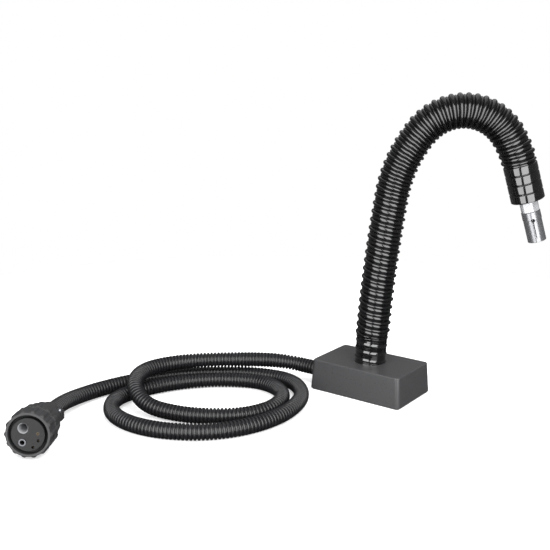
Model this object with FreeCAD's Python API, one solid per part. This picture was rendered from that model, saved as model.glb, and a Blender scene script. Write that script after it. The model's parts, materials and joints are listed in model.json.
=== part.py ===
import FreeCAD, Part
import math
import os

# Solder fume extraction arm: a weighted base, a bendable ribbed neck with a nozzle at its tip,
# and a ribbed supply hose that ends in a multi-way plug.
# Millimetres. The origin is the middle of the underside of the anti-slip pad, +Z is up,
# +X runs along the base, and the hose leaves the base's -X end.

V = FreeCAD.Vector

# Base
BASE_L, BASE_W = 125.0, 80.0
BASE_TOP = 38.0
DRAFT = 3.5
CORNER_R = 5.0
WALL = 3.0
PAD_T = 1.5
PLATE_T = 3.0
PLATE_INSET = 2.6
BOSS_X, BOSS_Y, BOSS_R = 50.0, 30.0, 4.5
SCREW_R = 2.0
SCREW_HEAD_R = 3.8

# Ballast inside the base
BALLAST_FROM, BALLAST_TO, BALLAST_W = -46.0, 53.0, 60.0
BALLAST_LOW_TOP = 12.5
BALLAST_HIGH_TOP = 32.0
BALLAST_STEP_X = 24.0
BALLAST_SCREW_X = 34.0

# Neck centreline, in an upright plane turned HEADING from +X: (length, turn in degrees) of each arc
HEADING = 36.6
NECK_LEAN = 2.7
NECK_ARCS = ((207.0, 6.0), (82.0, 30.0), (115.0, 107.0), (40.0, 18.0))
PIVOT_FIRST = 64.0
PIVOT_STEP = 32.0
PIVOTS = 12

# Neck hose and the hollow gooseneck core inside it
HOSE_R, HOSE_BORE = 20.9, 17.0
HOSE_BALL = 22.6
HOSE_END_R = 18.2
CORE_R, CORE_BORE = 8.2, 5.6
CORE_FROM = 2.0
CORE_BALL = 9.6
BALL_GAP = 0.3
CAP_REACH = 9.5

# Cuffs, socket and nozzle, as distances along the neck from the base's top
CUFF_BORE = 18.3
BOOT_R, BOOT_L = 19.5, 33.0
SPIGOT_R, SPIGOT_L = 16.8, 24.0
SOCKET_FOOT = BASE_TOP - 11.0
THREAD_R = 14.9
SLEEVE_R = 19.7
SLEEVE_FROM, SLEEVE_TO = 442.0, 487.0
FERRULE_FROM = 456.0
COLLAR_R = 10.75
COLLAR_FLATS = 19.8
COLLAR_TO = 500.0
NOZZLE_TO = 537.0
NOZZLE_STEP = 510.0
NOZZLE_BORE = 8.5
TURN_BORE = 8.0
SLIT_W, SLIT_HOLE_R = 1.2, 2.4
SLIT_TURN = 101.5

# Supply hose: its outside radius, where it leaves the base, and its route
SUPPLY_R = 9.25
LIE = SUPPLY_R + 0.05
EXIT_Y, EXIT_Z = -14.0, 17.5
GLAND_OUT = 69.0
GLAND_R, GLAND_THREAD_R, GLAND_BORE = 12.0, 9.0, 7.0
GLAND_NUT_FLATS = 22.0

# Lines inside the base
DUCT_R, DUCT_BORE = 4.0, 3.2
AIR_LINE_R, LEAD_R = 1.2, 1.0
LINE_SIDE = 5.5

# Plug, as depths behind its mating face
PLUG_TILT = 6.0
PLUG_HEADING = 125.2
RING_R, RING_L = 25.0, 30.0
RING_LOBES = 14
LOBE_R = 3.4
PLUG_FRONT = V(-175.0, -380.2, RING_R * math.cos(math.radians(PLUG_TILT))
               + RING_L * math.sin(math.radians(PLUG_TILT)) + 0.05)
INSERT_R = 17.4
SUCTION_AT, SUCTION_R, SUCTION_BORE = (-5.1, 6.5), 5.55, 5.0
AIR_AT, AIR_R, AIR_BORE = (-5.8, -7.9), 3.95, 2.4
CONTACTS_AT = ((10.3, 1.2), (10.3, -6.1), (4.7, -13.0))
CONTACT_R, CONTACT_BORE = 1.55, 0.8
PORTS_BACK = 26.0
RING_MOUTH_R, RING_BORE = 20.6, 19.3
NOSE_R, FLANGE_R, WAIST_R, BODY_BORE = 19.0, 22.6, 20.5, 15.0
WAIST_BACK = 50.0
BACK_NUT_R = 20.0
PLUG_HOSE_DEPTH = 62.0
CLAMP_FRONT, CLAMP_BACK = PLUG_HOSE_DEPTH + 0.2, 78.0
CLAMP_MID = (CLAMP_FRONT + CLAMP_BACK) / 2.0
CLAMP_R = 13.0
CLAMP_SCREW_X, CLAMP_SCREW_R = 13.4, 1.5
CLAMP_HEAD_R, CLAMP_HEAD_H = 2.9, 2.2
CLAMP_EAR_TOP = 5.0


def cylinder(radius, low, high, at=(0.0, 0.0)):
    return Part.makeCylinder(radius, high - low, V(at[0], at[1], low))


def tube(radius, bore, low, high, at=(0.0, 0.0)):
    return cylinder(radius, low, high, at).cut(cylinder(bore, low - 1.0, high + 1.0, at))


def cone(radius_low, radius_high, low, high):
    return Part.makeCone(radius_low, radius_high, high - low, V(0, 0, low))


def hexagon(across_flats, low, high):
    """A hexagonal bar about Z."""
    corner = across_flats / math.sqrt(3.0)
    points = [V(corner * math.cos(math.radians(60.0 * i)), corner * math.sin(math.radians(60.0 * i)), low)
              for i in range(7)]
    return Part.Face(Part.makePolygon(points)).extrude(V(0, 0, high - low))


def rounded_rectangle(length, width, radius, z):
    """A closed wire of four straight sides and four corner arcs."""
    x, y = length / 2.0, width / 2.0
    edges = []
    corners = ((x, y, 0), (-x, y, 90), (-x, -y, 180), (x, -y, 270))
    for cx, cy, start in corners:
        centre = V(cx - math.copysign(radius, cx), cy - math.copysign(radius, cy), z)
        angles = [math.radians(start + a) for a in (0, 45, 90)]
        arc = [centre + V(radius * math.cos(a), radius * math.sin(a), 0) for a in angles]
        if edges:
            edges.append(Part.LineSegment(edges[-1].valueAt(edges[-1].LastParameter), arc[0]).toShape())
        edges.append(Part.Arc(*arc).toShape())
    edges.append(Part.LineSegment(edges[-1].valueAt(edges[-1].LastParameter),
                                  edges[0].valueAt(edges[0].FirstParameter)).toShape())
    return Part.Wire(edges)


def slab(length, width, radius, low, high):
    return Part.Face(rounded_rectangle(length, width, radius, low)).extrude(V(0, 0, high - low))


def tapered_block(length, width, radius, low, high):
    """A block whose sides lean in by the draft angle as they rise."""
    lean = 2.0 * (high - low) * math.tan(math.radians(DRAFT))
    foot = rounded_rectangle(length, width, radius, low)
    top = rounded_rectangle(length - lean, width - lean, radius, high)
    return Part.makeLoft([foot, top], True, True)


def fused(shapes):
    result = shapes[0]
    for shape in shapes[1:]:
        result = result.fuse(shape)
    return result.removeSplitter()


def placed(shape, origin, z_axis, x_axis):
    """The shape, built about Z, moved so that its Z and X lie along the axes given."""
    moved = shape.copy()
    moved.Placement = FreeCAD.Placement(origin, FreeCAD.Rotation(x_axis, V(0, 0, 0), z_axis, "ZXY"))
    return moved


def run_path(points):
    """Straight runs joined by tangent arcs, as one wire; also the arcs' radii."""
    edges, radii = [], []
    last = points[0]
    for before, corner, after in zip(points, points[1:], points[2:]):
        to_corner = corner - before
        from_corner = after - corner
        shorter = min(to_corner.Length, from_corner.Length)
        to_corner.normalize()
        from_corner.normalize()
        turn = to_corner.getAngle(from_corner)
        back = 0.45 * shorter
        radius = back / math.tan(turn / 2.0)
        start = corner - to_corner * back
        end = corner + from_corner * back
        inward = from_corner - to_corner
        inward.normalize()
        centre = corner + inward * (radius / math.cos(turn / 2.0))
        edges.append(Part.LineSegment(last, start).toShape())
        edges.append(Part.Arc(start, centre - inward * radius, end).toShape())
        radii.append(radius)
        last = end
    edges.append(Part.LineSegment(last, points[-1]).toShape())
    return Part.Wire(edges), radii


def swept(points, radius):
    """A round bar along the runs and arcs through the points."""
    path, radii = run_path(points)
    direction = points[1] - points[0]
    section = Part.Wire(Part.makeCircle(radius, points[0], direction))
    return path.makePipeShell([section], True, False), path.Length, radii


def swept_tube(points, radius, bore):
    return swept(points, radius)[0].cut(swept(points, bore)[0])


# The neck's centreline

def plane_point(along, up):
    """A point of the neck's plane: distance along the heading, and height."""
    heading = math.radians(HEADING)
    return V(along * math.cos(heading), along * math.sin(heading), up)


def plane_direction(lean):
    """The direction that leans this many degrees from upright, in the neck's plane."""
    return plane_point(math.sin(math.radians(lean)), math.cos(math.radians(lean)))


def neck_station(distance):
    """The point and the lean of the neck's centreline at a distance from the base's top."""
    along, up, lean = 0.0, BASE_TOP, NECK_LEAN
    for length, turn in NECK_ARCS:
        part = max(0.0, min(distance, length))
        radius = length / math.radians(turn)
        swing = turn * part / length
        before, after = math.radians(lean), math.radians(lean + swing)
        along += radius * (math.cos(before) - math.cos(after))
        up += radius * (math.sin(after) - math.sin(before))
        lean += swing
        distance -= length
    straight = max(0.0, distance)
    along += straight * math.sin(math.radians(lean))
    up += straight * math.cos(math.radians(lean))
    return plane_point(along, up), lean


CURVED = sum(length for length, _ in NECK_ARCS)
FOOT = V(0, 0, BASE_TOP)
FOOT_AXIS = plane_direction(NECK_LEAN)
TIP_ROOT, TIP_LEAN = neck_station(CURVED)
TIP_AXIS = plane_direction(TIP_LEAN)
PLANE_NORMAL = plane_point(0, 1).cross(plane_point(1, 0))
PIVOT_AT = [PIVOT_FIRST + PIVOT_STEP * i for i in range(PIVOTS)]
PIVOT_POINTS = [neck_station(distance)[0] for distance in PIVOT_AT]
PIVOT_POINTS[0] = FOOT + FOOT_AXIS * PIVOT_FIRST
PIVOT_POINTS[-1] = TIP_ROOT - TIP_AXIS * (CURVED - PIVOT_AT[-1])


def at_foot(shape):
    """A shape built with Z = distance from the base's top, set on the neck's leaning foot."""
    return placed(shape, FOOT, FOOT_AXIS, PLANE_NORMAL)


def at_tip(shape):
    """A shape built with Z = distance from the base's top, set on the neck's straight tip."""
    return placed(shape, TIP_ROOT - TIP_AXIS * CURVED, TIP_AXIS, PLANE_NORMAL)


def stretch(outer, bore, ball, first, last, low_ball=True, high_ball=True):
    """A length of tube between two pivots, with ends that turn about them like a ball in a cup."""
    axis = last - first
    length = axis.Length
    low = 0.0
    high = length + ball if high_ball else length
    shape = tube(outer, bore, low, high)
    if low_ball:
        shape = shape.cut(Part.makeSphere(ball + BALL_GAP))
    if high_ball:
        keep = Part.makeSphere(ball, V(0, 0, length)).fuse(cylinder(outer + 1.0, low - 1.0, length))
        shape = shape.common(keep).common(cylinder(outer + 1.0, low - 1.0, length + CAP_REACH))
    return placed(shape, first, axis, PLANE_NORMAL)


def neck_pieces():
    """The hose's stretches and the core's stretches, from the base to the tip."""
    pieces = {}
    hose_ends = [FOOT + FOOT_AXIS * (BOOT_L + 0.3)] + PIVOT_POINTS
    hose_ends += [TIP_ROOT + TIP_AXIS * (SLEEVE_FROM - CURVED)]
    core_ends = [FOOT + FOOT_AXIS * CORE_FROM] + PIVOT_POINTS
    core_ends += [TIP_ROOT + TIP_AXIS * (FERRULE_FROM - CURVED)]
    for i in range(PIVOTS + 1):
        low, high = i > 0, i < PIVOTS
        hose = stretch(HOSE_R, HOSE_BORE, HOSE_BALL, hose_ends[i], hose_ends[i + 1], low, high)
        if i == 0:
            hose = hose.fuse(at_foot(tube(HOSE_END_R, HOSE_BORE, 1.5, BOOT_L + 0.3)))
        if i == PIVOTS:
            hose = hose.fuse(at_tip(tube(HOSE_END_R, HOSE_BORE, SLEEVE_FROM, SLEEVE_TO - 8.0)))
        pieces["neck_hose_%02d" % i] = hose.removeSplitter()
        pieces["gooseneck_core_%02d" % i] = stretch(
            CORE_R, CORE_BORE, CORE_BALL, core_ends[i], core_ends[i + 1], low, high)
    return pieces


# The base

def base_housing():
    """An upside-down tray with drafted sides, four screw bosses and holes for the neck and the hose."""
    outer = tapered_block(BASE_L, BASE_W, CORNER_R, PAD_T, BASE_TOP)
    top_edges = [e for e in outer.Edges if e.BoundBox.ZMin > BASE_TOP - 0.01]
    outer = outer.makeFillet(1.2, top_edges)
    inner = tapered_block(BASE_L - 2 * WALL, BASE_W - 2 * WALL, CORNER_R - 2.0,
                          PAD_T + PLATE_T, BASE_TOP - WALL)
    rebate = slab(BASE_L - 2 * PLATE_INSET, BASE_W - 2 * PLATE_INSET, CORNER_R - 2.0,
                  PAD_T - 1.0, PAD_T + PLATE_T)
    shell = outer.cut(inner).cut(rebate)
    bosses = [cylinder(BOSS_R, PAD_T + PLATE_T, BASE_TOP - WALL + 0.5, (x, y))
              for x in (-BOSS_X, BOSS_X) for y in (-BOSS_Y, BOSS_Y)]
    pad = along_gland(cylinder(GLAND_R + 0.5, 0.0, 6.0))
    shell = fused([shell, pad] + bosses)
    for x in (-BOSS_X, BOSS_X):
        for y in (-BOSS_Y, BOSS_Y):
            shell = shell.cut(cylinder(SCREW_R, PAD_T, PAD_T + 18.0, (x, y)))
    neck_hole = cylinder(THREAD_R + 0.1, BASE_TOP - 10.0, BASE_TOP + 1.0)
    hose_hole = along_gland(cylinder(GLAND_THREAD_R + 0.1, -1.0, 11.0))
    return shell.cut(neck_hole).cut(hose_hole)


def countersunk_screw(x, y, low, length):
    head = cone(SCREW_HEAD_R, SCREW_R, low, low + 2.2)
    shank = cylinder(SCREW_R - 0.05, low, low + length)
    drive = hexagon(2.5, low - 0.5, low + 1.2)
    screw = head.fuse(shank).cut(drive).removeSplitter()
    screw.translate(V(x, y, 0))
    return screw


def base_plate():
    plate = slab(BASE_L - 2 * PLATE_INSET - 0.4, BASE_W - 2 * PLATE_INSET - 0.4, CORNER_R - 2.2,
                 PAD_T, PAD_T + PLATE_T)
    holes = [(x, y) for x in (-BOSS_X, BOSS_X) for y in (-BOSS_Y, BOSS_Y)]
    holes += [(x, 0.0) for x in (-BALLAST_SCREW_X, BALLAST_SCREW_X)]
    for x, y in holes:
        sink = cone(SCREW_HEAD_R + 0.1, SCREW_R + 0.1, PAD_T, PAD_T + 2.2)
        sink = sink.fuse(cylinder(SCREW_R + 0.1, PAD_T - 1.0, PAD_T + PLATE_T + 1.0))
        sink.translate(V(x, y, 0))
        plate = plate.cut(sink)
    return plate


def ballast_block():
    """A cast block: a low plate under the duct, and a tall end beside it."""
    low = PAD_T + PLATE_T + 0.05
    plate = slab(BALLAST_TO - BALLAST_FROM, BALLAST_W, 3.0, low, BALLAST_LOW_TOP)
    plate.translate(V((BALLAST_FROM + BALLAST_TO) / 2.0, 0, 0))
    tall = Part.makeBox(BALLAST_TO - BALLAST_STEP_X, BALLAST_W - 4.0, BALLAST_HIGH_TOP - low,
                        V(BALLAST_STEP_X, -BALLAST_W / 2.0 + 2.0, low))
    block = plate.fuse(tall).removeSplitter()
    for x in (-BOSS_X, BOSS_X):
        for y in (-BOSS_Y, BOSS_Y):
            block = block.cut(cylinder(BOSS_R + 0.8, 0.0, BASE_TOP, (x, y)))
    for x in (-BALLAST_SCREW_X, BALLAST_SCREW_X):
        block = block.cut(cylinder(SCREW_R, 0.0, low + 7.0, (x, 0.0)))
    return block


def above_top(shape, gap):
    """The part of a shape that is above the housing's top by the gap or more."""
    return shape.cut(Part.makeBox(60.0, 60.0, 20.0, V(-30.0, -30.0, BASE_TOP - 20.0 + gap)))


def neck_socket():
    """A bush through the housing's top; its spigot leans with the neck."""
    spigot = above_top(at_foot(cylinder(SPIGOT_R, -3.0, SPIGOT_L)), 0.0)
    thread = cylinder(THREAD_R, SOCKET_FOOT, BASE_TOP + 3.0)
    bore_up = at_foot(cylinder(CORE_R + 0.1, CORE_FROM, SPIGOT_L + 1.0))
    bore_down = cylinder(CORE_BORE, SOCKET_FOOT - 1.0, BASE_TOP + 6.0)
    return fused([spigot, thread]).cut(bore_up).cut(bore_down)


def neck_boot():
    """A shrunk cuff over the hose's lower end, cut level with the housing's top."""
    return above_top(at_foot(tube(BOOT_R, CUFF_BORE, -3.0, BOOT_L)), 0.05)


def gland_point(inward):
    """A point on the hose gland's axis, measured inward from the base's end."""
    return V(-BASE_L / 2.0 + inward, EXIT_Y, EXIT_Z)


def along_gland(shape):
    """A shape built with Z = distance inward from the base's end, set on the gland's axis."""
    return placed(shape, gland_point(0), V(1, 0, 0), V(0, 0, 1))


def suction_elbow():
    """The duct in the base, from the hose's end to the neck's socket."""
    points = [gland_point(5.0), V(-32.0, EXIT_Y, EXIT_Z), V(-9.0, -5.0, EXIT_Z - 0.5),
              V(0.0, 0.0, SOCKET_FOOT - 0.6)]
    return swept_tube(points, DUCT_R, DUCT_BORE)


def base_line(radius, side):
    """A small line in the base that runs beside the duct towards the socket."""
    points = [V(-BASE_L / 2.0 + 5.0, EXIT_Y + side, EXIT_Z),
              V(-38.0, EXIT_Y + side, EXIT_Z + 0.5),
              V(-16.0, EXIT_Y / 2.0 + side * 1.5, EXIT_Z + 1.0),
              V(-5.0, side * 1.35, SOCKET_FOOT - 2.5)]
    return swept(points, radius)[0]


def base_pieces():
    pieces = {
        "base_housing": base_housing(),
        "base_plate": base_plate(),
        "base_plate_screws": Part.makeCompound(
            [countersunk_screw(x, y, PAD_T, 16.0) for x in (-BOSS_X, BOSS_X) for y in (-BOSS_Y, BOSS_Y)]),
        "anti_slip_pad": slab(BASE_L - 3.0, BASE_W - 3.0, CORNER_R - 1.5, 0.0, PAD_T),
        "ballast_block": ballast_block(),
        "ballast_screws": Part.makeCompound(
            [countersunk_screw(x, 0.0, PAD_T, 9.5) for x in (-BALLAST_SCREW_X, BALLAST_SCREW_X)]),
        "neck_socket": neck_socket(),
        "socket_nut": hexagon(34.0, BASE_TOP - WALL - 6.0, BASE_TOP - WALL).cut(
            cylinder(THREAD_R, BASE_TOP - 20.0, BASE_TOP)),
        "neck_boot": neck_boot(),
        "suction_elbow": suction_elbow(),
        "air_line": base_line(AIR_LINE_R, LINE_SIDE),
        "signal_lead": base_line(LEAD_R, -LINE_SIDE),
    }
    gland = tube(GLAND_R, GLAND_BORE, BASE_L / 2.0 - GLAND_OUT, 0.0)
    gland = gland.fuse(tube(GLAND_THREAD_R, GLAND_BORE, 0.0, 13.0)).removeSplitter()
    nut = hexagon(GLAND_NUT_FLATS, 6.05, 10.5).cut(cylinder(GLAND_THREAD_R, 0.0, 20.0))
    pieces["hose_gland"] = along_gland(gland)
    pieces["gland_nut"] = along_gland(nut)
    return pieces


# The nozzle end of the neck

def nozzle_sleeve():
    """A turning sleeve, slit from a relief hole to its open end so that it grips what is pushed in."""
    grip = tube(COLLAR_R, NOZZLE_BORE, NOZZLE_STEP, NOZZLE_TO)
    body = grip.fuse(tube(COLLAR_R + 0.35, TURN_BORE, COLLAR_TO + 0.3, NOZZLE_STEP)).removeSplitter()
    slit = Part.makeBox(SLIT_W, 20.0, NOZZLE_TO - NOZZLE_STEP + 1.0, V(-SLIT_W / 2.0, 0.0, NOZZLE_STEP))
    hole = Part.makeCylinder(SLIT_HOLE_R, 20.0, V(0, 0, NOZZLE_STEP), V(0, 1, 0))
    tool = slit.fuse(hole)
    tool.rotate(V(0, 0, 0), V(0, 0, 1), SLIT_TURN)
    return body.cut(tool)


def nozzle_collar():
    """The fixed collar with wrench flats; a spigot at its end carries the sleeve."""
    body = tube(COLLAR_R, CORE_BORE, FERRULE_FROM + 2.0, COLLAR_TO)
    flats = hexagon(COLLAR_FLATS, SLEEVE_TO + 2.0, COLLAR_TO + 1.0)
    plain = cylinder(COLLAR_R + 1.0, FERRULE_FROM, SLEEVE_TO + 2.0)
    spigot = tube(TURN_BORE - 0.05, CORE_BORE, COLLAR_TO - 1.0, NOZZLE_STEP - 1.0)
    return body.common(flats.fuse(plain)).fuse(spigot).removeSplitter()


def tip_pieces():
    ferrule = tube(SPIGOT_R, COLLAR_R, FERRULE_FROM + 2.0, SLEEVE_TO - 1.0)
    ferrule = ferrule.fuse(tube(SPIGOT_R, CORE_R + 0.1, FERRULE_FROM - 8.0, FERRULE_FROM + 0.5))
    ferrule = ferrule.fuse(tube(SPIGOT_R, CORE_BORE, FERRULE_FROM, FERRULE_FROM + 2.0)).removeSplitter()
    return {
        "tip_sleeve": at_tip(tube(SLEEVE_R, CUFF_BORE, SLEEVE_FROM + 0.3, SLEEVE_TO)),
        "tip_ferrule": at_tip(ferrule),
        "nozzle_collar": at_tip(nozzle_collar()),
        "nozzle_sleeve": at_tip(nozzle_sleeve()),
    }


# The plug

def plug_axes():
    """The mating face's outward normal, and the direction to the right as one looks at the face."""
    tilt, heading = math.radians(PLUG_TILT), math.radians(PLUG_HEADING)
    back = V(math.cos(heading) * math.cos(tilt), math.sin(heading) * math.cos(tilt), -math.sin(tilt))
    right = back.cross(V(0, 0, 1))
    right.normalize()
    return back * -1.0, right


FACE_AXIS, FACE_RIGHT = plug_axes()


def on_plug(shape):
    """A shape built with Z = 0 at the mating face and Z negative behind it, X to the right, Y up."""
    return placed(shape, PLUG_FRONT, FACE_AXIS, FACE_RIGHT)


def behind(radius, bore, front, back, at=(0.0, 0.0)):
    """A tube between two depths behind the mating face."""
    return tube(radius, bore, -back, -front, at)


def coupling_ring():
    """A lobed grip ring with a bevelled front lip, which turns about the plug's body."""
    grip = cylinder(RING_R - 1.2, -RING_L, 0.0)
    pitch = 2.0 * math.pi / RING_LOBES
    spread = RING_R - LOBE_R
    lobes = [cylinder(LOBE_R, -RING_L, 0.0, (spread * math.cos(pitch * i), spread * math.sin(pitch * i)))
             for i in range(RING_LOBES)]
    ring = fused([grip] + lobes)
    bevel = cone(RING_R - 2.2 + 8.0, RING_R - 2.2, -8.0, 0.0)
    ring = ring.common(bevel.fuse(cylinder(RING_R + 6.0, -RING_L, -8.0)))
    return ring.cut(cylinder(RING_MOUTH_R, -12.0, 1.0)).cut(cylinder(RING_BORE, -RING_L - 1.0, -11.0))


def plug_insert():
    insert = cylinder(INSERT_R, -24.0, -0.5)
    holes = [(SUCTION_R, SUCTION_AT), (AIR_R, AIR_AT)] + [(CONTACT_R, at) for at in CONTACTS_AT]
    for radius, at in holes:
        insert = insert.cut(cylinder(radius + 0.05, -25.0, 1.0, at))
    return insert


def plug_body():
    """The shell: a nose inside the ring, a flange behind it, and a waist with eight flats."""
    nose = behind(NOSE_R, INSERT_R + 0.1, 9.0, RING_L + 1.0)
    flange = behind(FLANGE_R, BODY_BORE, RING_L + 0.5, RING_L + 3.0)
    waist = behind(WAIST_R, BODY_BORE, RING_L + 3.0, WAIST_BACK)
    body = fused([nose, flange, waist])
    for i in range(8):
        flat = Part.makeBox(40.0, 10.0, 12.0, V(-20.0, WAIST_R - 0.9, 2.0 - WAIST_BACK))
        flat.rotate(V(0, 0, 0), V(0, 0, 1), 45.0 * i)
        body = body.cut(flat)
    return body


def back_nut():
    """A six-sided nut whose tapered end meets the hose."""
    front = -WAIST_BACK - 0.05
    back = -PLUG_HOSE_DEPTH
    body = cone(CLAMP_R + 0.5, BACK_NUT_R, back, front - 3.0).fuse(cylinder(BACK_NUT_R, front - 3.0, front))
    grips = hexagon(1.825 * BACK_NUT_R, back - 1.0, front + 1.0)
    return body.common(grips).cut(cylinder(GLAND_BORE, back - 1.0, front + 1.0))


def clamp_half(side):
    """One half of the hose clamp; side is 1 above the hose and -1 below it."""
    saddle = behind(CLAMP_R, SUPPLY_R + 0.15, CLAMP_FRONT, CLAMP_BACK)
    ears = Part.makeBox(2.0 * CLAMP_SCREW_X + 7.0, 2.0 * CLAMP_EAR_TOP, CLAMP_BACK - CLAMP_FRONT - 3.0,
                        V(-CLAMP_SCREW_X - 3.5, -CLAMP_EAR_TOP, -CLAMP_BACK + 1.5))
    ears = ears.cut(cylinder(SUPPLY_R + 0.15, -CLAMP_BACK - 1.0, -CLAMP_FRONT + 1.0))
    keep = Part.makeBox(60.0, 30.0, 40.0, V(-30.0, 0.3 if side > 0 else -30.3, -CLAMP_BACK - 5.0))
    half = saddle.fuse(ears).common(keep).removeSplitter()
    for x in (-CLAMP_SCREW_X, CLAMP_SCREW_X):
        hole = Part.makeCylinder(CLAMP_SCREW_R + 0.1, 40.0, V(x, -20.0, -CLAMP_MID), V(0, 1, 0))
        seat_at = V(x, side * CLAMP_EAR_TOP, -CLAMP_MID)
        seat = Part.makeCylinder(CLAMP_HEAD_R + 0.4, 20.0, seat_at, V(0, side, 0))
        half = half.cut(hole).cut(seat)
    return half


def clamp_screw(x):
    """A slotted screw down through both ears."""
    shank = Part.makeCylinder(CLAMP_SCREW_R, 11.0, V(x, CLAMP_EAR_TOP - 11.0, -CLAMP_MID), V(0, 1, 0))
    head = Part.makeCylinder(CLAMP_HEAD_R, CLAMP_HEAD_H, V(x, CLAMP_EAR_TOP, -CLAMP_MID), V(0, 1, 0))
    slot = Part.makeBox(7.0, 1.0, 0.9, V(x - 3.5, CLAMP_EAR_TOP + CLAMP_HEAD_H - 0.8, -CLAMP_MID - 0.45))
    return shank.fuse(head).cut(slot).removeSplitter()


def plug_pieces():
    local = {
        "coupling_ring": coupling_ring(),
        "ring_clip": behind(RING_MOUTH_R - 0.4, NOSE_R + 0.05, 10.2, 11.7),
        "face_seal": behind(RING_MOUTH_R - 0.4, INSERT_R + 0.1, 7.0, 8.95),
        "plug_body": plug_body(),
        "plug_insert": plug_insert(),
        "suction_port": behind(SUCTION_R, SUCTION_BORE, 1.0, PORTS_BACK, SUCTION_AT),
        "air_port": behind(AIR_R, AIR_BORE, -0.4, PORTS_BACK, AIR_AT),
        "contact_sockets": Part.makeCompound(
            [behind(CONTACT_R, CONTACT_BORE, 0.7, PORTS_BACK, at) for at in CONTACTS_AT]),
        "back_nut": back_nut(),
        "clamp_upper": clamp_half(1),
        "clamp_lower": clamp_half(-1),
        "clamp_screws": Part.makeCompound([clamp_screw(x) for x in (-CLAMP_SCREW_X, CLAMP_SCREW_X)]),
    }
    return {name: on_plug(shape) for name, shape in local.items()}


# The supply hose

# From the gland, on to the top of its own second turn, round a first loop, round a second
# loop on the surface it lies on, and out under the first loop to the plug.
HOSE_ROUTE = [
    V(-GLAND_OUT, EXIT_Y, EXIT_Z), V(-88, EXIT_Y, EXIT_Z), V(-106, -21, 20), V(-124, -40, 25),
    V(-153, -78, 30), V(-188, -109, 30), V(-211, -144, 30), V(-216, -180, 30), V(-198, -212, 26),
    V(-165, -226, 13), V(-124, -217, LIE),
    V(-84, -198, LIE), V(-54, -168, LIE), V(-46, -126, LIE), V(-67, -88, LIE), V(-108, -76, LIE),
    V(-146, -94, LIE), V(-176, -120, LIE), V(-198, -152, LIE), V(-212, -189, LIE), V(-214, -229, LIE),
    V(-186, -259, LIE), V(-145, -269, LIE), V(-100, -260, LIE), V(-57, -231, LIE), V(-31, -186, LIE),
    V(-25, -132, LIE), V(-43, -79, LIE), V(-84, -49, LIE), V(-134, -60, LIE), V(-177, -87, LIE),
    V(-213, -119, LIE), V(-236, -161, LIE), V(-250, -204, LIE), V(-252, -248, 11),
    PLUG_FRONT - FACE_AXIS * (PLUG_HOSE_DEPTH + 46.0), PLUG_FRONT - FACE_AXIS * PLUG_HOSE_DEPTH,
]


def supply_hose():
    solid, length, radii = swept(HOSE_ROUTE, SUPPLY_R)
    print("supply hose length %.0f mm" % length)
    print("arc radii mm:", " ".join("%.0f" % radius for radius in radii))
    print("volume / (section x length) %.4f" % (solid.Volume / (math.pi * SUPPLY_R ** 2 * length)))
    return solid


def main():
    os.makedirs("parts", exist_ok=True)
    pieces = {}
    for group in (base_pieces(), neck_pieces(), tip_pieces(), plug_pieces(), {"supply_hose": supply_hose()}):
        pieces.update(group)
    for name, shape in pieces.items():
        shape.exportStep("parts/%s.step" % name)
        if not shape.isValid():
            print("not valid:", name)
    print("%d nodes" % len(pieces))


main()
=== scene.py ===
import json
import math

import bmesh
import bpy
from bpy.props import FloatProperty, FloatVectorProperty, IntProperty, PointerProperty
from mathutils import Matrix, Vector


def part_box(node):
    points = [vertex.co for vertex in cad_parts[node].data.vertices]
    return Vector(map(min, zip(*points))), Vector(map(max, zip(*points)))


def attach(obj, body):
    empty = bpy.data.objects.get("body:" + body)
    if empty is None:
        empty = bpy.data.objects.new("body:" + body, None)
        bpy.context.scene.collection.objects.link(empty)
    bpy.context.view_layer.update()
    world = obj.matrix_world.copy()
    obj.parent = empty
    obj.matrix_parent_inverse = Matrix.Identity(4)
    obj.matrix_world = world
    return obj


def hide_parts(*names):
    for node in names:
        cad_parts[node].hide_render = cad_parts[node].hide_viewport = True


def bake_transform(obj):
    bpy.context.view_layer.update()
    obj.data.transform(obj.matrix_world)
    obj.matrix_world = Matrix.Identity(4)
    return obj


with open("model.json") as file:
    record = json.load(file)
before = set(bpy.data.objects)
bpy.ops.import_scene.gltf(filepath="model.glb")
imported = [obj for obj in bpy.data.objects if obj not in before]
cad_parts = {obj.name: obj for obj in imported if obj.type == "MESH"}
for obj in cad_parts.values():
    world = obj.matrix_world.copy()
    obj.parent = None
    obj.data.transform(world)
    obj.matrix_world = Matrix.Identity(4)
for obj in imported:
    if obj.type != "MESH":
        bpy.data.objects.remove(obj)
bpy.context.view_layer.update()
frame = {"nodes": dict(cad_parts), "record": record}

bl_info = {
    "name": "Solder fume extraction arm",
    "version": (1, 0, 0),
    "blender": (4, 5, 0),
    "location": "View3D > Sidebar > Fume arm",
    "description": "Builds the looks of a solder fume extraction arm around its packed frame",
    "category": "Object",
}

MM = 0.001

# The neck's centreline, as in the design: (length mm, turn in degrees, mm from rib to rib) of each arc
HEADING = math.radians(36.6)
NECK_FOOT_LEAN = 2.7
NECK_ARCS = ((207.0, 6.0, 9.87), (82.0, 30.0, 8.72), (115.0, 107.0, 7.97), (40.0, 18.0, 9.65))
TIP_RIB_PITCH = 9.65
RIB_PHASE = 10.19
BASE_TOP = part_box("base_housing")[1].z / MM
BOOT_END, SLEEVE_FROM, SLEEVE_TO = 33.0, 442.0, 487.0
COLLAR_FROM, COLLAR_TO, NOZZLE_STEP, NOZZLE_TO = 458.0, 500.0, 510.0, 537.0
PIVOT_SPACING = 32.0
PIVOTS = [64.0 + PIVOT_SPACING * i for i in range(12)]

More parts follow.
